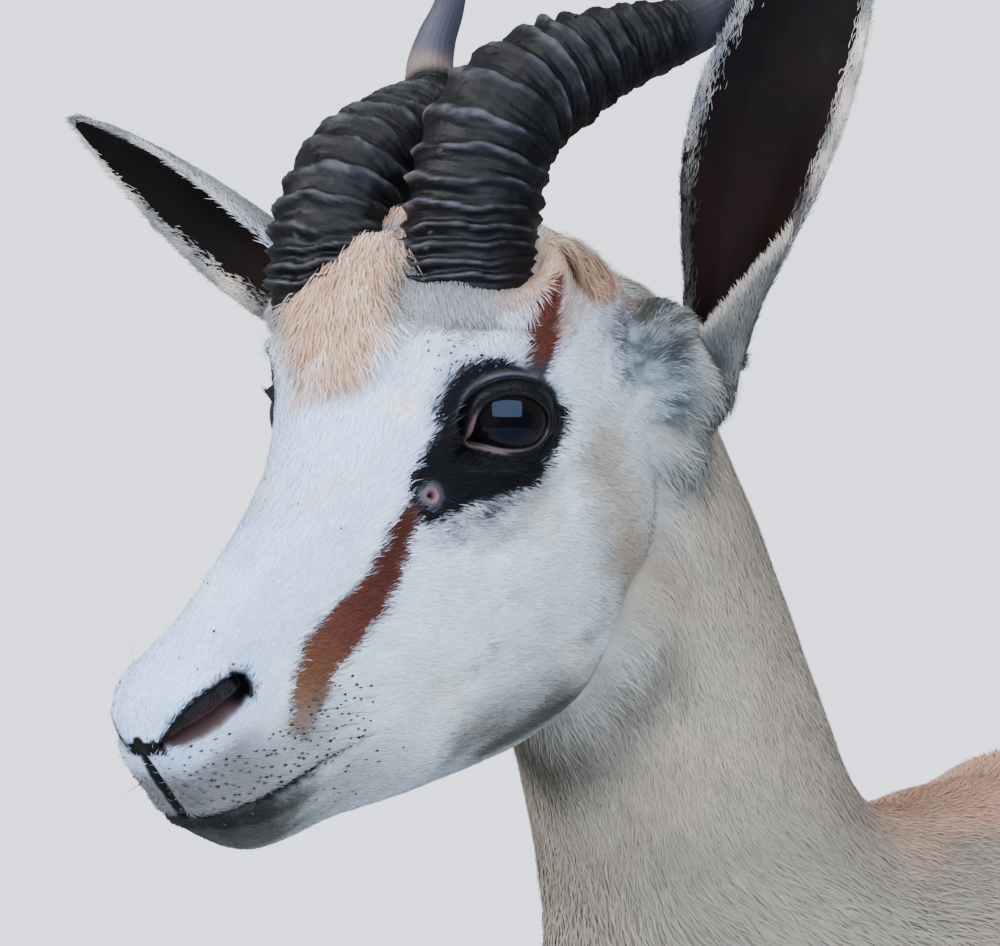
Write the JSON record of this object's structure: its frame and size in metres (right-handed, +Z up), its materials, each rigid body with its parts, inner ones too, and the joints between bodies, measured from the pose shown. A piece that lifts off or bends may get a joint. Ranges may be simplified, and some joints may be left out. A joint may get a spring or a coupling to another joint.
{
  "type": "springbok shoulder mount",
  "caption": "Taxidermy head, neck and shoulders of an antelope on a flat back board that hangs on a wall, head turned a little, ears spread, ringed horns sweeping back.",
  "frame": {"origin": "on the back board's back face, where it lies on the wall, on the middle line and 40 mm over the board's centre", "axes": "+Y into the wall, -Y the way the chest faces, +Z up, +X to the animal's left"},
  "size_m": [0.3057, 0.474, 0.6721],
  "materials": {
    "hide coat": "short hair over skin, matt",
    "horn keratin": "ringed black horn, satin",
    "glass eye": "dark glass, polished",
    "plywood": "bare board, matt",
    "zinc plated steel": "dull zinc plate"
  },
  "bodies": {
    "root": {"hide": "hide coat", "horn_left": "horn keratin", "horn_right": "horn keratin", "eye_left": "glass eye", "eye_right": "glass eye", "back_board": "plywood", "hanger_plate": "zinc plated steel", "hanger_screw_left": "zinc plated steel", "hanger_screw_right": "zinc plated steel"}
  },
  "joints": []
}
